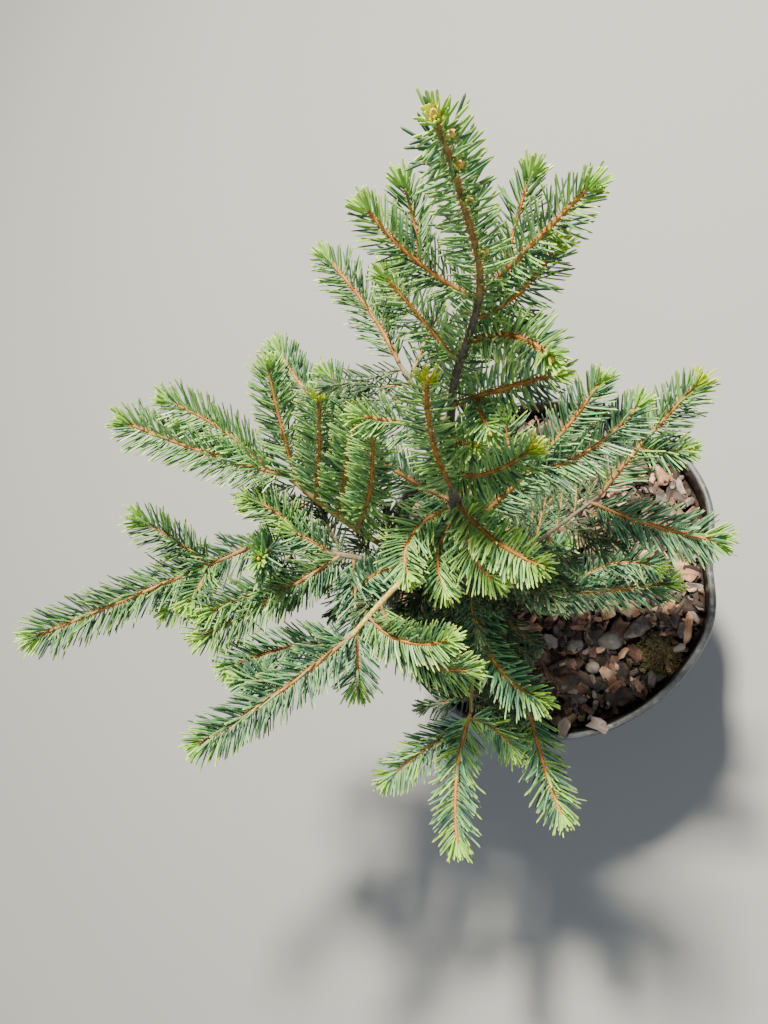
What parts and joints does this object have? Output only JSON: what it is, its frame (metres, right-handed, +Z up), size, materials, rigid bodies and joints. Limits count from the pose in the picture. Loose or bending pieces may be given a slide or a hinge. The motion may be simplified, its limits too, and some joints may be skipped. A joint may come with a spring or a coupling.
{
  "type": "potted conifer",
  "caption": "Young blue-green spruce with a leaning leader and spreading boughs, growing in bark substrate in a round black nursery pot.",
  "frame": {"origin": "centre of the pot's flat underside", "axes": "+Z up out of the pot; +X towards the picture's right and +Y towards its top; the leader leans towards +X and +Y"},
  "size_m": [0.4052, 0.3513, 0.6447],
  "materials": {
    "pot_plastic": "black injection-moulded polypropylene, semi-matt, scuffed and dusty on the lip",
    "bark_substrate": "composted pine bark chips, dry and matt",
    "bark_wood": "grey-brown young spruce bark, matt",
    "bough_wood": "orange-brown to grey young twig bark, matt",
    "foliage": "blue-green waxy needles, paler and yellower at the shoot tips"
  },
  "bodies": {
    "root": {"pot": "pot_plastic", "substrate": "bark_substrate", "trunk": "bark_wood", "bough_front": "bough_wood", "bough_front_right": "bough_wood", "bough_left": "bough_wood", "bough_left_front": "bough_wood", "bough_left_high": "bough_wood", "bough_right": "bough_wood", "bough_upper_left": "bough_wood", "spray_back_left": "foliage", "spray_back_left_low": "foliage", "spray_back_low": "foliage", "spray_back_right_low": "foliage", "spray_centre_front": "foliage", "spray_centre_low": "foliage", "spray_crown_front": "foliage", "spray_crown_left": "foliage", "spray_crown_low": "foliage", "spray_crown_right": "foliage", "spray_front": "foliage", "spray_front_inner_a": "foliage", "spray_front_inner_b": "foliage", "spray_front_right": "foliage", "spray_front_star": "foliage", "spray_inner_fan": "foliage", "spray_inner_left": "foliage", "spray_inner_right": "foliage", "spray_inner_turned": "foliage", "spray_leader": "foliage", "spray_left": "foliage", "spray_left_fan_a": "foliage", "spray_left_fan_b": "foliage", "spray_left_fan_c": "foliage", "spray_left_fan_d": "foliage", "spray_left_front": "foliage", "spray_left_high": "foliage", "spray_left_inner_a": "foliage", "spray_left_inner_b": "foliage", "spray_left_low": "foliage", "spray_left_mid": "foliage", "spray_left_star": "foliage", "spray_left_under": "foliage", "spray_right": "foliage", "spray_right_high": "foliage", "spray_right_low": "foliage", "spray_right_mid": "foliage", "spray_right_tip": "foliage", "spray_right_under": "foliage", "spray_upper_inner": "foliage", "spray_upper_left": "foliage", "spray_upright": "foliage"}
  },
  "joints": []
}
